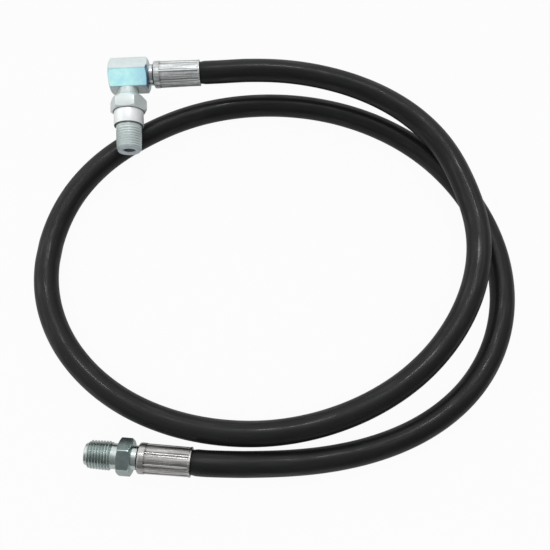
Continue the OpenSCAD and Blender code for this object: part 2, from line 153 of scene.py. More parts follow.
def weld(mesh, same_place=2e-6, no_length=1e-7):
    """Joins points at the same place, drops faces without area and turns all faces outward."""
    bm = bmesh.new()
    bm.from_mesh(mesh)
    bmesh.ops.remove_doubles(bm, verts=bm.verts, dist=same_place)
    bmesh.ops.dissolve_degenerate(bm, edges=bm.edges, dist=no_length)
    bmesh.ops.recalc_face_normals(bm, faces=bm.faces)
    bm.to_mesh(mesh)
    bm.free()


def new_piece(name, shape, look, body, cad_node, painted_light_and_oil=None, sharp=30):
    """A visible piece that takes the place of a CAD node, smooth except at its sharp edges.

    shape is the points, the faces and the points in the piece's own coordinates. The marks are above 0
    on edges and ridges that get painted light, and below 0 where painted shade goes, with oil in thread
    grooves. The materials read the last two.
    """
    points, faces, local = shape
    mesh = new_mesh(name, points, faces)
    layer = mesh.attributes.new("local", "FLOAT_VECTOR", "POINT")
    layer.data.foreach_set("vector", np.asarray(local, dtype=np.float32).ravel())
    if painted_light_and_oil is not None:
        layer = mesh.attributes.new("painted_light_and_oil", "FLOAT", "POINT")
        layer.data.foreach_set("value", np.asarray(painted_light_and_oil, dtype=np.float32))
    weld(mesh)
    mesh.polygons.foreach_set("use_smooth", [True] * len(mesh.polygons))
    mesh.set_sharp_from_angle(angle=math.radians(sharp))
    mesh.materials.append(look)
    made = in_scene(name, mesh)
    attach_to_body(made, body)
    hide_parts(cad_node)
    return made


def along(origin, axis, x_side):
    """Where a turned piece goes: its own Z runs along the axis, and its X points to x_side."""
    z = Vector(axis).normalized()
    x = Vector(x_side).normalized()
    turn = Matrix((x, z.cross(x), z)).transposed().to_4x4()
    return Matrix.Translation(Vector(origin)) @ turn


ALONG_STRAIGHT = along((0, 0, 0), (1, 0, 0), (0, 0, -1))
ALONG_ELBOW = along(ELBOW_AT, ELBOW_DIR, ELBOW_DIR.cross(SWIVEL_AXIS))
ALONG_SWIVEL = along(ELBOW_AT, SWIVEL_AXIS, ELBOW_DIR)


# ---------------------------------------------------------------- profiles and rings
def soften(profile):
    """Rounds each corner of a closed profile. Rows are (z, r, radius), z and r may vary round it.

    A rounding takes up at most 0.45 of the shorter side next to it.
    """
    points = [np.stack(np.broadcast_arrays(z, r), axis=-1).astype(float) for z, r, _ in profile]
    out = []
    for i, (_, _, radius) in enumerate(profile):
        point, before, after = points[i], points[i - 1], points[(i + 1) % len(profile)]
        if radius == 0:
            out.append(point)
            continue
        back = np.linalg.norm(before - point, axis=-1, keepdims=True)
        ahead = np.linalg.norm(after - point, axis=-1, keepdims=True)
        reach = np.minimum(radius, 0.45 * np.minimum(back, ahead))
        first = point + (before - point) / np.maximum(back, 1e-9) * reach
        third = point + (after - point) / np.maximum(ahead, 1e-9) * reach
        out += [first, 0.25 * first + 0.5 * point + 0.25 * third, third]
    return out


def lathe(rows, angles, placing):
    """Rings of points round an axis, each row joined to the next and the last to the first.

    Returns the points where the piece lies, the faces, and the points in its own coordinates.
    """
    turn = np.radians(angles)
    local = []
    for row in rows:
        row = np.broadcast_to(row, (len(angles), 2))
        local.append(np.stack([row[:, 1] * np.cos(turn), row[:, 1] * np.sin(turn), row[:, 0]], axis=-1))
    local = np.concatenate(local)
    matrix = np.array(placing)
    points = local @ matrix[:3, :3].T + matrix[:3, 3]
    columns = len(angles)
    faces = []
    for i in range(len(rows)):
        a, b = i * columns, (i + 1) % len(rows) * columns
        faces += [(a + k, a + k + 1, b + k + 1, b + k) for k in range(columns - 1)]
    return points, faces, local


def open_end(shape, angles):
    """The shape without its last ring of faces, for a profile that starts and ends on the axis."""
    points, faces, local = shape
    return points, faces[:-(len(angles) - 1)], local


def even_angles(count):
    return np.linspace(0, 360, count + 1)


def crowded_angles(roll, step, half):
    """Angles from a corner once round to it again, with the offsets in half on each side of every
    corner and one midway between two."""
    offsets = half + [step / 2] + [step - a for a in half[:0:-1]]
    return np.array([roll + step * k + a for k in range(360 // step) for a in offsets] + [roll + 360])


def hex_angles(roll):
    """Angles round a hexagon, close together at its corners."""
    return crowded_angles(roll, 60, [0, 0.35, 0.7, 1.1, 2.4, 5, 9, 14, 19, 24.5])


def off_corner(angles, roll, step):
    """Degrees from the nearest of the corners that come every step round the axis."""
    return np.abs((angles - roll + step / 2) % step - step / 2)


def hex_radius(angles, roll, across, rounding=0.35):
    """Distance from the axis to a hexagonal bar's surface, its corners slightly rounded."""
    apothem, tilt = across / 2, math.radians(30)
    offset = off_corner(angles, roll, 60)
    centre = (apothem - rounding) / math.cos(tilt)
    tangent = math.degrees(math.atan2(rounding / 2, centre + rounding * math.cos(tilt)))
    flat = apothem / np.cos(np.radians(30 - offset))
    inside = np.maximum(rounding ** 2 - (centre * np.sin(np.radians(offset))) ** 2, 0)
    corner = centre * np.cos(np.radians(offset)) + np.sqrt(inside)
    return np.where(offset < tangent, corner, flat)


def hex_rows(start, end, surface, low, high, low_slope=CORNER_SLOPE):
    """Rows of a hexagonal bar whose corners are turned off to radius low and high at its ends."""
    soft = 0.12
    first = start + np.maximum(surface - low, 0) * low_slope
    last = end - np.maximum(surface - high, 0) * CORNER_SLOPE
    return [
        (start, np.minimum(surface, low), soft), (first, surface, soft),
        (last, surface, soft), (end, np.minimum(surface, high), soft),
    ]


def helix_rows(angles, start, end, end_r, way):
    """Rows that follow a right-hand helix between two flat rings.

    way is 1 where the thread's small end comes first along the axis and -1 where it comes last.
    end_r is the radius at the big end: a neck's, or the bar's, where the grooves run out.
    """
    turn = (angles - angles[0]) / 360
    flat = 0.05     # the land at each crest, and half of the one at each root
    flank = ROOT_DEPTH * math.tan(math.radians(30))
    marks = [
        (0, 0), (flat, 0), (flat + 0.5 * flank, 0.5), (flat + 0.95 * flank, 0.95),
        (flat + flank + flat, 1), (flat + flank + 2 * flat, 1),
        (PITCH - flat - 0.95 * flank, 0.95), (PITCH - flat - 0.5 * flank, 0.5), (PITCH - flat, 0),
    ]
    small_end, big_end = (start, end) if way > 0 else (end, start)
    run_out = 2.2 * PITCH
    rows = []
    for lap in range(-1, int((end - start) / PITCH) + 3):
        for shift, height in marks:
            z = np.clip(start + (lap + turn) * PITCH + shift, start, end)
            bar = TIP_R + (z - small_end) * way / TAPER_RUN
            root = bar - ROOT_DEPTH
            crest = np.minimum(bar, BAR_R)
            to_big_end = np.abs(z - big_end)
            r = np.minimum(root + height * ROOT_DEPTH, crest)
            r = np.minimum(r, LEAD_IN_R + np.abs(z - small_end))
            if end_r < BAR_R:
                r = np.minimum(r, end_r + to_big_end)
            else:
                fade = 1 - np.clip(to_big_end / run_out, 0, 1)
                r = np.minimum(np.maximum(r, root + fade * (end_r - root)), crest)
            r = np.where(to_big_end < 1e-9, end_r, r)
            r = np.where(np.abs(z - small_end) < 1e-9, LEAD_IN_R, r)
            rows.append(np.stack([z, r], axis=-1))
    return rows


# ---------------------------------------------------------------- painted light and shade, and oil, on the pieces
def height_and_radius(local):
    """Each point's place along the piece's axis and its distance from it."""
    return local[:, 2], np.hypot(local[:, 0], local[:, 1])


def bearing(local):
    """Each point's direction round the piece's axis, in degrees."""
    return np.degrees(np.arctan2(local[:, 1], local[:, 0]))


def corner_lines(local, roll, across, start, end, most=None):
    """1 on the corners of a hexagon between two places along the axis, falling to 0 beside them.

    It stops where the corners are turned off, so the end faces stay unmarked. The material paints
    a line there: a painted highlight on the straight and swivel hexagons, painted shade on the block. most
    is the bearing of a corner that is marked about twice as much as the others.
    """
    angle = bearing(local)
    z, r = height_and_radius(local)
    on_bar = (z > start - 0.01) & (z < end + 0.01) & (r > 0.52 * across)
    share, width = 1, 1.9
    if most is not None:
        share = 0.45 + 0.55 * np.exp(-(((angle - most + 180) % 360 - 180) / 30) ** 2)
    return np.where(on_bar, share * np.exp(-(off_corner(angle, roll, 60) / width) ** 2), 0)


def thread_oil_and_shade(local, start, end, small_end):
    """-1 at the bottom of a thread's grooves, rising to 0 at its crests: oil there, and painted shade."""
    z, r = height_and_radius(local)
    root = TIP_R + np.abs(z - small_end) / TAPER_RUN - ROOT_DEPTH
    on_thread = (z > start + 0.05) & (z < end - 0.05) & (r > CHAMFER_R)
    return np.where(on_thread, -np.clip(1 - (r - root) / ROOT_DEPTH, 0, 1), 0)


def face_shade(local, place, inner, outer):
    """-1 on the flat ring that faces along the axis at a place, between two radii: painted shade."""
    z, r = height_and_radius(local)
    return np.where((np.abs(z - place) < 0.06) & (r > inner) & (r < outer), -1.0, 0)


def corner_shade(local, place, reach, inner, outer, amount):
    """Painted shade on a round surface between two radii, falling to nothing at a distance from a corner.
    """
    z, r = height_and_radius(local)
    share = np.clip(1 - (z - place) / reach, 0, 1)
    return np.where((z > place - 0.01) & (r > inner) & (r < outer), -amount * share, 0)


# ---------------------------------------------------------------- steps of a node material
def material(name, metallic=0.0):
    made = bpy.data.materials.new(name)
    made.use_nodes = True
    tree = made.node_tree
    shader = tree.nodes["Principled BSDF"]
    shader.inputs["Metallic"].default_value = metallic
    return made, tree, shader


def node(tree, kind, inputs=None, **settings):
    """A node whose inputs are linked to sockets or set to values."""
    made = tree.nodes.new(kind)
    for key, value in settings.items():
        setattr(made, key, value)
    for key, value in (inputs or {}).items():
        if isinstance(value, bpy.types.NodeSocket):
            tree.links.new(value, made.inputs[key])
        else:
            made.inputs[key].default_value = value
    return made


def step(tree, operation, *values):
    """One step of arithmetic on sockets and numbers."""
    return node(tree, "ShaderNodeMath", dict(enumerate(values)), operation=operation).outputs[0]


def span(tree, value, start, end, low=0.0, high=1.0, how="LINEAR"):
    """Goes from low to high while the value goes from start to end."""
    return node(tree, "ShaderNodeMapRange", {
        "Value": value, "From Min": start, "From Max": end, "To Min": low, "To Max": high},
        interpolation_type=how).outputs[0]


def blend_shaders(tree, share, first, second):
    return node(tree, "ShaderNodeMixShader", {
        0: share, 1: first.outputs[0], 2: second.outputs[0]}).outputs[0]


def local_place(tree, scale):
    """The piece's own coordinates in millimetres, scaled per axis: Z runs along its axis."""
    place = node(tree, "ShaderNodeAttribute", attribute_name="local").outputs["Vector"]
    return node(tree, "ShaderNodeMapping", {"Vector": place, "Scale": scale}).outputs["Vector"]


def noise(tree, scale, detail=4.0, roughness=0.55):
    return node(tree, "ShaderNodeTexNoise", {
        "Vector": local_place(tree, scale), "Scale": 1.0, "Detail": detail, "Roughness": roughness,
    }).outputs["Fac"]


def grey(v):
    return (v, v, v)


def ramp(tree, value, stops):
    """A colour that follows the value through stops of (position, colour)."""
    made = node(tree, "ShaderNodeValToRGB", {"Fac": value})
    elements = made.color_ramp.elements
    while len(elements) < len(stops):
        elements.new(0.5)
    for element, (position, colour) in zip(elements, stops):
        element.position = position
        element.color = (*colour, 1)
    return made.outputs["Color"]


def varied(tree, scale, *stops, detail=4.0):
    """A number that follows noise through stops of (share of noise, number)."""
    return ramp(tree, noise(tree, scale, detail), [(at, grey(v)) for at, v in stops])


def mix(tree, factor, a, b, how="MIX"):
    made = node(tree, "ShaderNodeMix", data_type="RGBA", blend_type=how)
    for socket, value in ((made.inputs[0], factor), (made.inputs[6], a), (made.inputs[7], b)):
        if isinstance(value, bpy.types.NodeSocket):
            tree.links.new(value, socket)
        else:
            socket.default_value = value if isinstance(value, float) else (*value, 1)
    return made.outputs[2]


def bump(tree, height, strength, distance, before=None):
    """Shading of a small relief; distance is its height in millimetres."""
    inputs = {"Height": height, "Strength": strength, "Distance": distance * MM}
    if before is not None:
        inputs["Normal"] = before
    return node(tree, "ShaderNodeBump", inputs).outputs["Normal"]


def edge_light_and_shade(tree, colour, edge, oil_and_shade_colour, oil_and_shade_depth):
    """The colour with marked edges and ridges in the colour edge, as painted light, and the marks below 0
    in the colour after it: painted shade, with oil in thread grooves.
    """
    mark_value = node(tree, "ShaderNodeAttribute", attribute_name="painted_light_and_oil").outputs["Fac"]
    colour = mix(tree, mark_value, colour, edge)
    return mix(tree, step(tree, "MULTIPLY", mark_value, -oil_and_shade_depth), colour, oil_and_shade_colour)


def attach(tree, shader, colour, rough, normal):
    """Gives the shader its colour, its roughness and its relief."""
    tree.links.new(colour, shader.inputs["Base Color"])
    tree.links.new(rough, shader.inputs["Roughness"])
    tree.links.new(normal, shader.inputs["Normal"])


# ---------------------------------------------------------------- materials
def rubber_material():
    """Black hose cover: extruded rubber with lengthwise marks, dust and short glossy streaks."""
    made, tree, shader = material("hose_rubber")
    black, deep_black, dust = (0.009, 0.0094, 0.0094), (0.005, 0.0053, 0.0053), (0.045, 0.047, 0.045)
    colour = ramp(tree, noise(tree, (0.06, 0.06, 0.012), 3), [(0.3, deep_black), (0.7, black)])
    colour = mix(tree, varied(tree, (1.3, 1.3, 0.9), (0.70, 0), (0.78, 0.7), detail=2), colour, dust)
    rough = varied(tree, (0.5, 0.5, 0.09), (0.3, 0.29), (0.75, 0.5))
    shader.inputs["Specular IOR Level"].default_value = 0.26
    glossy = varied(tree, (0.5, 0.5, 0.05), (0.50, 0.01), (0.66, 0.32), detail=3)
    tree.links.new(glossy, shader.inputs["Coat Weight"])
    shader.inputs["Coat Roughness"].default_value = 0.1
    drawn = bump(tree, noise(tree, (1.0, 1.0, 0.02)), 0.3, 0.12)
    grain = bump(tree, noise(tree, (3, 3, 2), 5, 0.6), 0.12, 0.04, drawn)
    attach(tree, shader, colour, rough, grain)
    return made


def metal_material(name, pale, deep, rough, metallic=1.0, dark_from=None, zone_tones=(),
                   edge=(0.34, 0.47, 0.48), bar=None, oil_and_shade_depth=0.75, bored=True):
    """Zinc plated steel: cloudy plating over turning marks, with a few small darker spots.

    pale and deep are the plating's two tones, and edge is the colour painted on marked corners:
    a painted highlight where it is light, a painted shade line where it is dark. dark_from is
    where a near-black painted shade starts, along the axis. zone_tones are tones that come in
    between two places along the axis, with a wavy edge. bar is a darker tone between two places,
    where the hexagonal bar wasn't turned. oil_and_shade_depth is how dark the marks below 0 make
    it: oil with painted shade in thread grooves, painted shade elsewhere. bored says that the bore
    along the piece's axis gets painted shade, a dark grey.
    """
    made, tree, shader = material(name, metallic)
    colour = ramp(tree, noise(tree, (0.25, 0.25, 0.25)), [(0.32, deep), (0.68, pale)])
    place = local_place(tree, (1, 1, 1))
    height = node(tree, "ShaderNodeSeparateXYZ", {0: place}).outputs["Z"]
    for tone, start, end, wave in zone_tones:
        wavy = step(tree, "MULTIPLY_ADD", noise(tree, (0.3, 0.3, 0.3)), wave, -0.5 * wave)
        in_zone = span(tree, step(tree, "ADD", height, wavy), start, end)
        colour = mix(tree, in_zone, colour, tone)
    spots = varied(tree, (1.1, 1.1, 1.1), (0.66, 0), (0.78, 0.25), detail=2)
    colour = mix(tree, spots, colour, tuple(0.5 * c for c in deep))
    if bar:
        tone, start, end = bar
        middle, half, soft = (start + end) / 2, (end - start) / 2, 0.05
        off_middle = step(tree, "ABSOLUTE", step(tree, "SUBTRACT", height, middle))
        colour = mix(tree, span(tree, off_middle, half + soft, half - soft), colour, tone, "MULTIPLY")
    # Marked corners and ridges take the edge colour as painted light; marks below 0 take a near-black as
    # painted shade, with oil in thread grooves.
    colour = edge_light_and_shade(tree, colour, edge, (0.045, 0.055, 0.06), oil_and_shade_depth)
    if dark_from is not None:
        # Painted shade, nearly black, from dark_from on along the axis: the gap behind the tail's shoulder
        # and all that the sleeve hides.
        colour = mix(tree, span(tree, height, dark_from - 0.25, dark_from), colour, (0.02, 0.022, 0.022))
    if bored:
        # Painted shade: inside the bore's radius the colour turns dark grey.
        across = node(tree, "ShaderNodeVectorMath", {0: place, 1: (1, 1, 0)}, operation="MULTIPLY")
        radius = node(tree, "ShaderNodeVectorMath", {0: across.outputs[0]}, operation="LENGTH")
        in_bore = span(tree, radius.outputs["Value"], BORE_R + 0.1, BORE_R)
        colour = mix(tree, in_bore, colour, (0.15, 0.16, 0.17))
    gloss = varied(tree, (0.5, 0.5, 0.9), (0.3, rough * 0.85), (0.7, rough * 1.2), detail=3)
    rings = bump(tree, noise(tree, (0.1, 0.1, 2.2), 2), 0.2, 0.01)
    peel = bump(tree, noise(tree, (0.5, 0.5, 0.5), 3), 0.08, 0.03, rings)
    attach(tree, shader, colour, gloss, peel)
    return made


def ferrule_material(name, tint, rough, metallic):
    """Crimped sleeve: bare-looking plating drawn into lengthwise streaks, with a painted highlight on its
    ridges and painted shade beside them.
    """
    made, tree, shader = material(name, metallic)

    def tone(v):
        return tuple(v * t for t in tint)

    streak = noise(tree, (1.6, 1.6, 0.07), 5, 0.6)
    colour = ramp(tree, streak, [(0.34, tone(0.27)), (0.5, tone(0.57)), (0.66, tone(0.87))])
    mottle = varied(tree, (0.8, 0.8, 0.8), (0.45, 0), (0.68, 0.45))
    colour = mix(tree, mottle, colour, tone(0.36))
    # Near-white painted highlight on the ridges; near-black painted shade beside them and in patches past
    # the band's step.
    colour = edge_light_and_shade(tree, colour, (0.95, 0.95, 0.94), grey(0.05), 0.8)
    gloss = varied(tree, (1.2, 1.2, 0.12), (0.3, 0.28 * rough), (0.7, 0.46 * rough))
    drawn = bump(tree, noise(tree, (2.2, 2.2, 0.06)), 0.25, 0.03)
    dents = bump(tree, noise(tree, (0.7, 0.7, 0.7)), 0.2, 0.05, drawn)
    attach(tree, shader, colour, gloss, dents)
    return made


def wire_material():
    """The hidden braid: bright and dark steel strands."""
    made, tree, shader = material("steel_braid", 1.0)
    strands = noise(tree, (2.0, 2.0, 0.4), 2)
    shader.inputs["Roughness"].default_value = 0.35
    tree.links.new(ramp(tree, strands, [(0.4, grey(0.3)), (0.6, grey(0.6))]), shader.inputs["Base Color"])
    tree.links.new(bump(tree, strands, 0.6, 0.1), shader.inputs["Normal"])
    return made


def plain_material(name, low, high, rough, metallic=0.0):
    """A fine-grained surface for the small inner pieces, between two tones."""
    made, tree, shader = material(name, metallic)
    place = node(tree, "ShaderNodeTexCoord").outputs["Object"]
    grain = node(tree, "ShaderNodeTexNoise", {
        "Vector": place, "Scale": 900.0, "Detail": 4.0,
    }).outputs["Fac"]
    colour = ramp(tree, grain, [(0.3, low), (0.7, high)])
    gloss = ramp(tree, grain, [(0.3, grey(rough)), (0.7, grey(rough * 1.4))])
    attach(tree, shader, colour, gloss, bump(tree, grain, 0.3, 0.02))
    return made


# ---------------------------------------------------------------- the hose
def smooth_path(points, spacing=1.6, steps=32):
    """A Catmull-Rom curve through the route's points, and the distance along it, evenly spaced."""
    points = np.array(points, dtype=float)
    padded = np.vstack([2 * points[0] - points[1], points, 2 * points[-1] - points[-2]])
    out = []
    for i in range(1, len(padded) - 2):
        p0, p1, p2, p3 = padded[i - 1:i + 3]
        k0, k1, k2 = (np.linalg.norm(b - a) ** 0.5 for a, b in ((p0, p1), (p1, p2), (p2, p3)))
        m1 = (p1 - p0) / k0 - (p2 - p0) / (k0 + k1) + (p2 - p1) / k1
        m2 = (p2 - p1) / k1 - (p3 - p1) / (k1 + k2) + (p3 - p2) / k2
        m1, m2 = m1 * k1, m2 * k1
        for t in np.linspace(0, 1, steps + 1)[:-1]:
            out.append((2 * t ** 3 - 3 * t ** 2 + 1) * p1 + (t ** 3 - 2 * t ** 2 + t) * m1
                       + (3 * t ** 2 - 2 * t ** 3) * p2 + (t ** 3 - t ** 2) * m2)
    out.append(points[-1])
    out = np.array(out)
    reach = np.concatenate([[0], np.cumsum(np.linalg.norm(np.diff(out, axis=0), axis=1))])
    even = np.linspace(0, reach[-1], int(reach[-1] / spacing) + 1)
    return np.stack([np.interp(even, reach, out[:, k]) for k in range(3)], axis=-1), even


def relax(path, rounds=60, held=30):
    """Evens out the bend between the listed points; the held points at each end stay put."""
    path = path.copy()
    for _ in range(rounds):
        middle = 0.5 * (path[:-2] + path[2:])
        path[held:-held] += 0.5 * (middle - path[1:-1])[held - 1:len(path) - held - 1]
    return path


def sweep(path, reach, outer, inner, columns):
    """A tube along the path with a bore, as rings; outer and inner may vary along the path."""
    heading = np.gradient(path, axis=0)
    heading /= np.linalg.norm(heading, axis=1, keepdims=True)
    side = np.cross([0, 0, 1], heading)
    side /= np.linalg.norm(side, axis=1, keepdims=True)
    up = np.cross(heading, side)
    turn = np.linspace(0, 2 * np.pi, columns, endpoint=False)
    points, local = [], []
    for radius in (outer, inner):
        r = np.broadcast_to(radius, reach.shape)
        for i in range(len(path)):
            ring = np.outer(np.cos(turn), side[i]) + np.outer(np.sin(turn), up[i])
            points.append(path[i] + r[i] * ring)
            local.append(np.stack([r[i] * np.cos(turn), r[i] * np.sin(turn),
                                   np.full(columns, reach[i])], axis=-1))

    def band(a, b):
        return [(a + k, a + (k + 1) % columns, b + (k + 1) % columns, b + k) for k in range(columns)]

    count = len(path)
    faces = []
    for i in range(count - 1):
        faces += band(i * columns, (i + 1) * columns)
        faces += band((count + i + 1) * columns, (count + i) * columns)
    faces += band(count * columns, 0)
    faces += band((count - 1) * columns, (2 * count - 1) * columns)
    return np.concatenate(points), faces, np.concatenate(local)


def on_straight(distance):
    return np.array([distance, 0.0, 0.0])


def on_elbow(distance):
    return np.array(ELBOW_AT + ELBOW_DIR * distance)


def hose_points():
    """The hose's centre line from inside one ferrule to inside the other, as listed."""
    mouth = FERRULE_AT + FERRULE_LENGTH
    places = [HOSE_AT, mouth, mouth + RUN_STRAIGHT]
    return (
        [on_straight(STRAIGHT_TAIL + place) for place in places]
        + [np.array([x, y, FLOOR + HOSE_R + lift]) for x, y, lift in ROUTE]
        + [on_elbow(ELBOW_TAIL + place) for place in reversed(places)]
    )


def cover_radius(reach):
    """The cover's radius along the hose: squeezed in the ferrules, swelling out beyond them."""
    gripped = FERRULE_AT + FERRULE_LENGTH - HOSE_AT
    from_end = np.minimum(reach, reach[-1] - reach)
    swell = np.clip((from_end - gripped) / SWELL, 0, 1)
    swell = swell * swell * (3 - 2 * swell)
    return np.where(from_end < gripped, GRIPPED_R, LEAVING_R + (HOSE_R - LEAVING_R) * swell)


def make_hose():
    """The hose's three layers along one path."""
    lining = plain_material("lining_rubber", grey(0.012), grey(0.02), 0.5)
    path, reach = smooth_path(hose_points())
    path = relax(path)
    # Keeps it out of the floor and inside the CAD model's box, which its curve would just pass
    path[:, 2] = np.maximum(path[:, 2], FLOOR + HOSE_R)
    path[:, 0] = np.maximum(path[:, 0], cad_box[0][0] / MM + HOSE_R)
    layers = [
        ("cover_skin", "hose_cover", "cover_rubber", rubber_material(), cover_radius(reach), COVER_IN, 48),
        ("braid_skin", "wire_braid", "steel_wire", wire_material(), BRAID_R, BRAID_IN, 24),
        ("lining_skin", "inner_tube", "tube_rubber", lining, LINING_R, LINING_IN, 24),
    ]
    made = [
        new_piece(name, sweep(path, reach, outer, inner, columns), look, "hose", cad_node, sharp=40)
        for name, cad_node, slot, look, outer, inner, columns in layers
    ]


# ---------------------------------------------------------------- turned fittings
def tail_rows(start):
    """Shoulder, groove for the ferrule's lip, hose stop and barbed stem, up to the bore's mouth."""
    stop, stop_end = start + STOP_AT, start + STOP_END
    end, tip = start + TAIL_LENGTH, 0.4
    rows = [
        (start, SHOULDER_R, 0.1), (start + SHOULDER, SHOULDER_R, 0.25),
        (start + SHOULDER, GROOVE_R, 0.1), (stop, GROOVE_R, 0.1),
        (stop, STOP_R, 0.15), (stop_end, STOP_R, 0.15), (stop_end, TAIL_R, 0.1),
    ]
    for barb in range(BARBS, 0, -1):
        foot = end - tip - barb * BARB_STEP
        rows += [(foot, TAIL_R, 0), (foot, BARB_R, 0.03), (foot + 0.8 * BARB_STEP, TAIL_R, 0.1)]
    return rows + [(end - tip, TAIL_R, 0), (end, TAIL_R - 0.2, 0.05), (end, TAIL_BORE_R, 0.05)]


def straight_end(look):
    """Nose, pipe thread, neck, hexagon and barbed tail, with the flow bore through them."""
    angles = hex_angles(STRAIGHT_ROLL)
    surface = hex_radius(angles, STRAIGHT_ROLL, STRAIGHT_HEX)
    corner_r = 7.85     # where the hexagon's corners are turned off
    nose = soften([
        (0, NOSE_R, 0), (NOSE_TURN_R - NOSE_R, NOSE_TURN_R, 0.1), (THREAD_START, NOSE_TURN_R, 0.1),
        (THREAD_START, LEAD_IN_R, 0), (THREAD_END, NECK_R, 0),
    ])[:-1]
    thread = helix_rows(angles, THREAD_START, THREAD_END, NECK_R, 1)
    rest = soften(
        [(THREAD_END, NECK_R, 0), (HEX_START, NECK_R, 0.35)]
        + hex_rows(HEX_START, STRAIGHT_TAIL, surface, corner_r, corner_r)
        + tail_rows(STRAIGHT_TAIL)
        + [(BORE_STEP, TAIL_BORE_R, 0), (BORE_STEP, BORE_R, 0.1), (CHAMFER_DEPTH, BORE_R, 0.1),
           (0, CHAMFER_R, 0.05), (0, NOSE_R, 0)]
    )[:-1]
    shape = lathe(nose + thread + rest, angles, ALONG_STRAIGHT)
    # Painted highlight along the hexagon's corners, and oil with painted shade in the thread's grooves.
    painted_light_and_oil = (corner_lines(shape[2], STRAIGHT_ROLL, STRAIGHT_HEX, HEX_START, STRAIGHT_TAIL)
            + thread_oil_and_shade(shape[2], THREAD_START, THREAD_END, THREAD_START))
    new_piece("straight_fitting", shape, look, "hose", "straight_body", painted_light_and_oil)


def elbow_block(look, other_looks):
    """A length of hexagonal bar with its corners turned off, drilled from two sides."""
    angles = hex_angles(0)
    surface = hex_radius(angles, 0, BLOCK_HEX)
    corner_r = 8.1
    # The corner whose painted shade line is strongest.
    most_marked = 240     # bearing of a corner, in degrees
    rows = soften(
        [(-BLOCK_BEHIND, 0, 0)]
        + hex_rows(-BLOCK_BEHIND, ELBOW_TAIL, surface, corner_r, corner_r)
        + [(ELBOW_TAIL, SOCKET_R, 0.1), (TAIL_SOCKET, SOCKET_R, 0), (TAIL_SOCKET, BLOCK_DRILL_R, 0),
           (BLOCK_DRILL_END, BLOCK_DRILL_R, 0), (BLOCK_DRILL_END, 0, 0)]
    )
    shape = open_end(lathe(rows, angles, ALONG_ELBOW), angles)
    # Painted shade lines along the block's corners.
    painted_light_and_oil = corner_lines(shape[2], 0, BLOCK_HEX, -BLOCK_BEHIND, ELBOW_TAIL, most_marked)
    block = new_piece("elbow_block", shape, look, "hose", "elbow_body", painted_light_and_oil)
    drill(block)
    tint_faces(block, other_looks)


def drill(block):
    """Cuts the socket and the passage for the swivel's stem into the block's flat."""
    start, end = -0.1, BLOCK_FLAT + 1.0
    angles = even_angles(48)
    rows = soften([
        (start, 0, 0), (start, STEM_BORE_R, 0), (STEM_SOCKET, STEM_BORE_R, 0),
        (STEM_SOCKET, SOCKET_R, 0), (end, SOCKET_R, 0), (end, 0, 0),
    ])
    points, faces, _ = open_end(lathe(rows, angles, ALONG_SWIVEL), angles)
    mesh = new_mesh("cutter", points, faces)
    weld(mesh)
    cutter = in_scene("cutter", mesh)
    cut = block.modifiers.new("socket", "BOOLEAN")
    cut.operation, cut.solver, cut.object = "DIFFERENCE", "EXACT", cutter
    shaped = bpy.data.meshes.new_from_object(
        block.evaluated_get(bpy.context.evaluated_depsgraph_get()))
    block.modifiers.clear()
    old, block.data = block.data, shaped
    bpy.data.meshes.remove(old)
    bpy.data.objects.remove(cutter)
    bpy.data.meshes.remove(mesh)


def tint_faces(block, other_looks):
    """Plating tones by face, as the photograph shows them: darker on the sides and below as painted shade,
    blue over the swivel (the plating's tint, partly a painted reflection), navy at the tail's end as
    painted shade.
    """
    for look in other_looks:
        block.data.materials.append(look)
    side_shade, blue, navy = 1, 2, 3
    blue_way = math.radians(210)        # bearings round the block
    navy_from, navy_to = 165, 262
    turn = ALONG_ELBOW.to_3x3()
    over_swivel = turn @ Vector((math.cos(blue_way), math.sin(blue_way), 0))
    tail_way = turn @ Vector((0, 0, 1))
    into_block = ALONG_ELBOW.inverted()
    for face in block.data.polygons:
        centre = into_block @ (face.center / MM)
        angle = math.degrees(math.atan2(centre.y, centre.x)) % 360
        # The face over the swivel gets the blue: the plating's tint, partly a painted reflection.
        if face.normal.dot(over_swivel) > 0.995:
            face.material_index = blue
        # Navy on the lower part of the end that faces the tail: painted shade where the block meets the
        # tail.
        elif face.normal.dot(tail_way) > 0.2 and navy_from < angle < navy_to:
            face.material_index = navy
        # Faces turned sideways and down take a darker plating: painted shade.
        elif face.normal.z < 0.2 and abs(face.normal.dot(tail_way)) < 0.2:
            face.material_index = side_shade


def elbow_tail(look):
    rows = soften([(TAIL_SOCKET, TAIL_BORE_R, 0), (TAIL_SOCKET, SPIGOT_R, 0.1), (ELBOW_TAIL, SPIGOT_R, 0)]
                  + tail_rows(ELBOW_TAIL))
    shape = lathe(rows, even_angles(96), ALONG_ELBOW)
    new_piece("elbow_shoulder", shape, look, "hose", "elbow_tail")


def swivel_stem(look):
    """The neck that shows, and the barrel with the wire's and the seals' grooves."""
    rows = soften([
        (STEM_SOCKET, STEM_BORE_R, 0), (STEM_SOCKET, SPIGOT_R, 0.1), (BLOCK_FLAT, SPIGOT_R, 0),
        (BLOCK_FLAT, STEM_NECK_R, 0.1), (NECK_END, STEM_NECK_R, 0.25), (NECK_END, BARREL_R, 0.1),
        (WIRE_FROM, BARREL_R, 0), (WIRE_AT, BARREL_R - 0.8, 0.3), (WIRE_TO, BARREL_R, 0),
        (SEALS_FROM, BARREL_R, 0), (SEALS_FROM, SEALS_R, 0), (SEALS_TO, SEALS_R, 0),
        (SEALS_TO, BARREL_R, 0), (STEM_END - 0.5, BARREL_R, 0.1), (STEM_END, BARREL_R - 0.5, 0),
        (STEM_END, STEM_BORE_R, 0),
    ])
    shape = lathe(rows, even_angles(72), ALONG_SWIVEL)
    new_piece("stem_neck", shape, look, "hose", "swivel_stem")


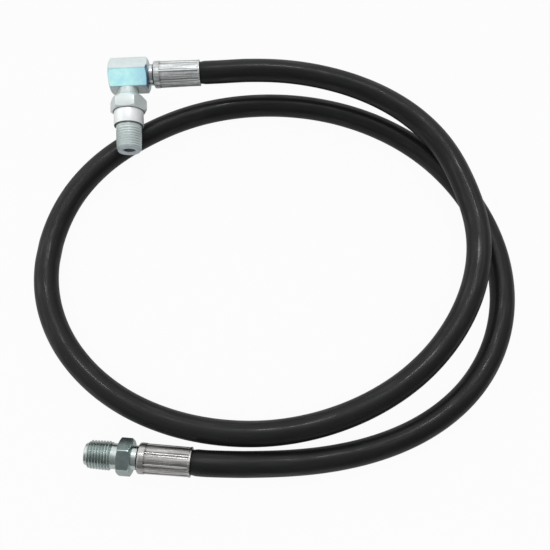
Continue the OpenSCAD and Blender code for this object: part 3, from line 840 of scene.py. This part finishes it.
def swivel_fitting(look):
    """Hexagon, round collar and pipe thread, with the counterbore that turns on the stem."""
    angles = hex_angles(SWIVEL_ROLL)
    surface = hex_radius(angles, SWIVEL_ROLL, SWIVEL_HEX)
    back_corner_r, front_corner_r = 7.85, 8.4
    outer = soften(
        [(SWIVEL_START, COUNTERBORE_R, 0)]
        + hex_rows(SWIVEL_START, SWIVEL_HEX_END, surface, back_corner_r, front_corner_r, SWIVEL_BACK_SLOPE)
        + [(SWIVEL_HEX_END, COLLAR_R, 0.1), (SWIVEL_HEX_END + 0.5, COLLAR_R, 0),
           (SWIVEL_HEX_END + 1.0, COLLAR_R, 0), (COLLAR_END, COLLAR_R, 0.3), (COLLAR_END, BAR_R, 0)]
    )
    thread = helix_rows(angles, COLLAR_END, SWIVEL_END, BAR_R, -1)
    inner = soften([
        (SWIVEL_END, LEAD_IN_R, 0), (SWIVEL_END, CHAMFER_R, 0.05),
        (SWIVEL_END - CHAMFER_DEPTH, BORE_R, 0.1), (COUNTERBORE_END, BORE_R, 0),
        (COUNTERBORE_END, COUNTERBORE_R, 0), (WIRE_TO, COUNTERBORE_R, 0),
        (WIRE_AT, COUNTERBORE_R + 0.81, 0.3), (WIRE_FROM, COUNTERBORE_R, 0),
        (SWIVEL_START, COUNTERBORE_R, 0),
    ])[:-1]
    shape = lathe(outer + thread + inner, angles, ALONG_SWIVEL)
    local = shape[2]
    # Painted highlight along the hexagon's corners.
    painted_light_and_oil = (0.5 * corner_lines(local, SWIVEL_ROLL, SWIVEL_HEX, SWIVEL_START, SWIVEL_HEX_END - 0.1)
            # Oil and painted shade in the thread's grooves.
            + 0.3 * thread_oil_and_shade(local, COLLAR_END, SWIVEL_END, SWIVEL_END)
            # Painted shade on the end faces of the hexagon and the collar, and next to where the collar
            # meets the hexagon and the thread.
            + face_shade(local, SWIVEL_HEX_END, COLLAR_R - 0.1, front_corner_r + 0.02)
            + face_shade(local, COLLAR_END, 6.0, COLLAR_R - 0.25)
            + corner_shade(local, SWIVEL_HEX_END, 0.75, COLLAR_R - 0.03, COLLAR_R + 0.03, 0.8)
            + corner_shade(local, COLLAR_END + 0.02, 0.9, 5.0, BAR_R + 0.05, 0.9))
    new_piece("swivel_fitting", shape, look, "swivel", "swivel_body", painted_light_and_oil)


# ---------------------------------------------------------------- crimped ferrules
def closed(values):
    """A row of values round the sleeve whose last one is its first, where the ring closes."""
    values = np.array(values)
    values[-1] = values[0]
    return values


def die_row(share, front, offset, marks, seed):
    """One ring of the crimped stretch, at a share of the way from its front to the sleeve's end."""
    end = FERRULE_LENGTH - RIM_LENGTH
    z = front + share * (end - front)
    top = BAND_R - (BAND_R - RIM_R) * (z - BAND_LENGTH) / (FERRULE_LENGTH - BAND_LENGTH)
    half = 180 / DIES
    flatness = 1 - math.cos(math.radians(half)) / np.cos(np.radians(half - offset))
    die = top * (1 - DIE_FLATNESS * flatness) - DIE_DEPTH
    arc = np.radians(offset) * top
    height = RIDGE_HEIGHT + 0.03 * math.sin(share * 9 + seed)
    ridge = height * np.exp(-(arc / RIDGE_WIDTH) ** 2)
    hollow = 0.05 * np.exp(-((arc - 0.75) / 0.25) ** 2)
    return z, np.minimum(die + (ridge - hollow) + marks, top), 0


def ridge_light_and_shade(local, start, roll, patches):
    """A painted highlight on the ridges with painted shade beside them, and darker patches just past the
    step where the band ends.
    """
    z, r = height_and_radius(local)
    z = z - start
    arc = off_corner(bearing(local), roll, 360 // DIES)
    outside = r > 6.5
    crimp = (z > BAND_LENGTH - 0.1) & (z < FERRULE_LENGTH - RIM_LENGTH + 0.05) & outside
    width, shade_from_ridge, amount = 2.1, 5.4, 0.95
    ridge = amount * np.exp(-(arc / width) ** 2)
    beside = amount * np.exp(-((arc - shade_from_ridge) / width) ** 2)
    in_step = np.tile(patches, len(local) // len(patches)) * np.exp(-((z - BAND_LENGTH - 0.3) / 0.45) ** 2)
    return np.where(crimp, ridge - beside, 0) - np.where(outside, in_step, 0)


def ferrule(name, cad_node, start, placing, look, seed, roll):
    """A crimped sleeve: plain band, eight die marks with a ridge between each two, and a rim."""
    chance = np.random.RandomState(seed)
    pitch = 360 // DIES
    angles = crowded_angles(roll, pitch, [0, 0.8, 1.6, 2.6, 3.8, 5.5, 8, 12, 17])
    turn = np.radians(angles)
    offset = off_corner(angles, roll, pitch)

    def wobble(count, size):
        """A smooth random wave round the sleeve."""
        waves = range(1, count + 1)
        return size * sum(chance.uniform(-1, 1) / k ** 0.5 * np.cos(k * turn + chance.uniform(0, 6.3))
                          for k in waves)

    marks = closed(chance.uniform(-1, 1, len(angles)) * 0.004)
    band_end = closed(BAND_LENGTH + wobble(9, 0.12))
    end, crimped = FERRULE_LENGTH, FERRULE_LENGTH - RIM_LENGTH
    band = [
        (0.3, LIP_R, 0.05), (0.3, 5.6, 0.2), (0, 6.2, 0.15), (0.1, 6.95, 0.25),
        (0.75, BAND_R - 0.06, 0.35), (2.2, closed(BAND_R - 0.06 + wobble(7, 0.01)), 0),
        (band_end - 0.3, closed(BAND_R - 0.05 + wobble(7, 0.008)), 0.2),
    ]
    dies = [die_row(share, band_end + 0.15, offset, marks, seed) for share in np.linspace(0, 1, 26)]
    rim = [
        (crimped + 0.15, RIM_R - 0.15, 0.1), (crimped + 0.35, RIM_R - 0.08, 0.1),
        (end, RIM_R - 0.08, 0.15), (end, 6.15, 0.1), (end - 0.5, SLEEVE_BORE_R + 0.03, 0.1),
        (LIP_LENGTH, SLEEVE_BORE_R, 0), (LIP_LENGTH, LIP_R, 0),
    ]
    rows = soften([(start + z, r, soft) for z, r, soft in band + dies + rim])
    shape = lathe(rows, angles, placing)
    patches = closed(np.clip(0.55 + wobble(23, 0.22), 0.1, 1))
    # Marks for the painted highlight on the ridges and the painted shade beside them.
    painted_light_and_oil = ridge_light_and_shade(shape[2], start, roll, patches)
    new_piece(name, shape, look, "hose", cad_node, painted_light_and_oil)


def make_fittings():
    """The metal pieces, each in its own tone of plating."""
    # The edge colours paint the marked corners: the light ones are a painted highlight, the dark ones a
    # painted shade line. dark_from is where painted shade starts behind each tail's shoulder.
    zinc = metal_material(
        "zinc_plating", (0.70, 0.77, 0.75), (0.56, 0.65, 0.63), 0.22,
        dark_from=STRAIGHT_TAIL + SHOULDER, edge=(0.72, 0.80, 0.79),
        bar=((0.60, 0.67, 0.67), HEX_START, STRAIGHT_TAIL), oil_and_shade_depth=0.3)
    tail_zinc = metal_material(
        "tail_zinc_plating", (0.78, 0.83, 0.84), (0.64, 0.70, 0.72), 0.24,
        dark_from=ELBOW_TAIL + SHOULDER)
    neck_zinc = metal_material(
        "neck_zinc_plating", (0.66, 0.71, 0.71), (0.55, 0.61, 0.61), 0.42, metallic=0.5)
    block_zinc = metal_material(
        "block_zinc_plating", (0.77, 0.84, 0.85), (0.68, 0.77, 0.78), 0.36, metallic=0.5,
        edge=(0.30, 0.42, 0.44), bored=False)
    thread_tone, tip_tone = (0.76, 0.84, 0.83), (0.56, 0.63, 0.66)
    pale_zinc = metal_material(
        "pale_zinc_plating", (0.925, 0.95, 0.95), (0.86, 0.90, 0.895), 0.34, metallic=0.4,
        zone_tones=[(thread_tone, COLLAR_END - 0.1, COLLAR_END + 0.1, 0.0),
                (tip_tone, SWIVEL_END - 1.5, SWIVEL_END - 1.0, 0.4)],
        edge=(0.90, 0.93, 0.93), bar=((0.76, 0.80, 0.79), SWIVEL_START, SWIVEL_HEX_END), oil_and_shade_depth=0.9)
    # A darker plating for the block's side and lower faces: painted shade.
    side_shade_zinc = metal_material(
        "side_shade_zinc_plating", (0.66, 0.71, 0.71), (0.52, 0.57, 0.57), 0.34, metallic=0.65, bored=False)
    # Over the swivel: the plating's blue tint, partly a painted reflection. The deeper blue towards the
    # tail is partly tint and partly painted shade; the navy at the tail's end is painted shade.
    deeper_blue, tail_navy = (0.34, 0.66, 0.83), (0.08, 0.15, 0.24)
    blue_plating_and_reflection = metal_material(
        "blue_plating_with_painted_reflection", (0.60, 1.0, 0.97), (0.46, 0.86, 0.94), 0.42, metallic=0.05,
        zone_tones=[(deeper_blue, 1.0, 13.0, 9.0), (tail_navy, ELBOW_TAIL - 0.8, ELBOW_TAIL - 0.4, 0.6)],
        edge=(0.05, 0.13, 0.14), bored=False)
    # Dark navy for the block's end next to the tail: painted shade.
    navy_shade_zinc = metal_material(
        "navy_shade_zinc_plating", (0.16, 0.26, 0.38), (0.08, 0.14, 0.24), 0.3, metallic=0.7, bored=False)
    warm_sleeve = ferrule_material("warm_sleeve", (1.02, 1.005, 0.985), 0.8, 1.0)
    cool_sleeve = ferrule_material("cool_sleeve", (1.15, 1.19, 1.20), 1.1, 0.82)
    straight_end(zinc)
    ferrule("straight_sleeve", "straight_ferrule", STRAIGHT_TAIL + FERRULE_AT, ALONG_STRAIGHT,
            warm_sleeve, seed=5, roll=29)
    elbow_block(block_zinc, [side_shade_zinc, blue_plating_and_reflection, navy_shade_zinc])
    elbow_tail(tail_zinc)
    ferrule("elbow_sleeve", "elbow_ferrule", ELBOW_TAIL + FERRULE_AT, ALONG_ELBOW,
            cool_sleeve, seed=11, roll=10.5)
    swivel_stem(neck_zinc)
    swivel_fitting(pale_zinc)


def dress(names, look):
    """Gives CAD nodes that keep their own mesh a better material."""
    for name in names:
        for slot in frame["nodes"][name].material_slots:
            slot.material = look


def dress_hidden_pieces():
    ptfe = plain_material("backup_ptfe", (0.7, 0.68, 0.6), (0.8, 0.78, 0.7), 0.5)
    dress(["retaining_wire"], plain_material("spring_wire", grey(0.5), grey(0.7), 0.3, 1.0))
    dress(["swivel_o_ring"], plain_material("seal_nitrile", grey(0.01), grey(0.02), 0.4))
    dress(["backup_ring_inner", "backup_ring_outer"], ptfe)


# ---------------------------------------------------------------- stage
def make_camera():
    """The photograph's viewpoint: 70 degrees above the floor, turned 4.5 degrees, 360 mm up."""
    data = bpy.data.cameras.new("camera")
    data.lens = 47.13
    data.clip_start, data.clip_end = 0.01, 20
    camera = in_scene("camera", data)
    camera.location = Vector((92.63, -30.12, FLOOR + 360)) * MM
    camera.rotation_euler = (math.radians(90 - 70), 0, math.radians(4.5))
    bpy.context.scene.camera = camera


def make_floor():
    """A floor that the camera sees nearly white, with a faint shadow, and the metal mirrors as grey."""
    half, z = 3000, FLOOR
    corners = [(-half, -half, z), (half, -half, z), (half, half, z), (-half, half, z)]
    mesh = new_mesh("floor", corners, [(0, 1, 2, 3)])
    made = bpy.data.materials.new("floor_white")
    made.use_nodes = True
    tree = made.node_tree
    tree.nodes.clear()
    out = node(tree, "ShaderNodeOutputMaterial")
    matte = node(tree, "ShaderNodeBsdfDiffuse", {"Color": (0.46, 0.46, 0.46, 1)})
    bright = node(tree, "ShaderNodeEmission", {"Color": (1, 1, 1, 1), "Strength": 1.0})
    seen = node(tree, "ShaderNodeLightPath").outputs
    direct = step(tree, "MAXIMUM", seen["Is Camera Ray"], seen["Is Transmission Ray"])
    share = step(tree, "MULTIPLY_ADD", seen["Is Glossy Ray"], 0.25, step(tree, "MULTIPLY", direct, 0.95))
    tree.links.new(blend_shaders(tree, share, matte, bright), out.inputs["Surface"])
    mesh.materials.append(made)
    floor = in_scene("floor", mesh)


def make_lamp(name, place, aim, size, power):
    """A rectangular lamp at a place in metres, turned towards the aim."""
    data = bpy.data.lights.new(name, "AREA")
    data.shape = "RECTANGLE"
    data.size, data.size_y = size
    data.energy = power
    lamp = in_scene(name, data)
    lamp.location = place
    lamp.rotation_euler = (Vector(aim) - Vector(place)).to_track_quat("-Z", "Y").to_euler()
    return lamp


def room_light(tree):
    """The room that the metal mirrors: bright behind and on the left, dim elsewhere and low down."""
    place = node(tree, "ShaderNodeTexCoord").outputs["Generated"]
    way = node(tree, "ShaderNodeSeparateXYZ", {0: place}).outputs
    steps = [(0.0, 0.21), (0.30, 0.28), (0.43, 0.40), (0.48, 0.58), (0.53, 0.82), (0.62, 1.06), (1.0, 1.06)]
    back = ramp(tree, span(tree, way["Y"], -1.0, 1.0), [(at, grey(v)) for at, v in steps])
    towards_left = node(tree, "ShaderNodeVectorMath", {0: place, 1: (-0.95, 0.05, 0.3)},
                        operation="DOT_PRODUCT").outputs["Value"]
    left = span(tree, towards_left, 0.6, 0.95, 0.0, 0.5, "SMOOTHSTEP")
    right = span(tree, way["X"], 0.35, 0.9, 1.0, 0.55)
    low = span(tree, way["Z"], 0.0, 0.4, 0.6, 1.0)
    light = mix(tree, 1.0, back, left, "ADD")
    light = mix(tree, 1.0, light, right, "MULTIPLY")
    return mix(tree, 1.0, light, low, "MULTIPLY")


def make_light():
    """A strip lamp over and behind, a wide soft fill in front, the room, and a white backdrop."""
    centre = Vector((0.085, 0.1, 0))
    make_lamp("key", centre + Vector((0.0, 0.62, 1.46)), centre, (0.8, 0.06), 3.2)
    fill = make_lamp("fill", centre + Vector((-0.1, -0.9, 1.4)), centre, (1.2, 1.2), 14)
    fill.visible_glossy = False
    world = bpy.data.worlds.new("room")
    bpy.context.scene.world = world
    world.use_nodes = True
    tree = world.node_tree
    tree.nodes.clear()
    out = node(tree, "ShaderNodeOutputWorld")
    room = node(tree, "ShaderNodeBackground", {"Color": room_light(tree), "Strength": 0.95})
    backdrop = node(tree, "ShaderNodeBackground", {"Color": (1, 1, 1, 1), "Strength": 1.0})
    seen = node(tree, "ShaderNodeLightPath").outputs["Is Camera Ray"]
    tree.links.new(blend_shaders(tree, seen, room, backdrop), out.inputs["Surface"])
    bpy.context.scene.view_settings.view_transform = "Standard"


make_camera()
make_hose()
make_fittings()
dress_hidden_pieces()
make_floor()
make_light()
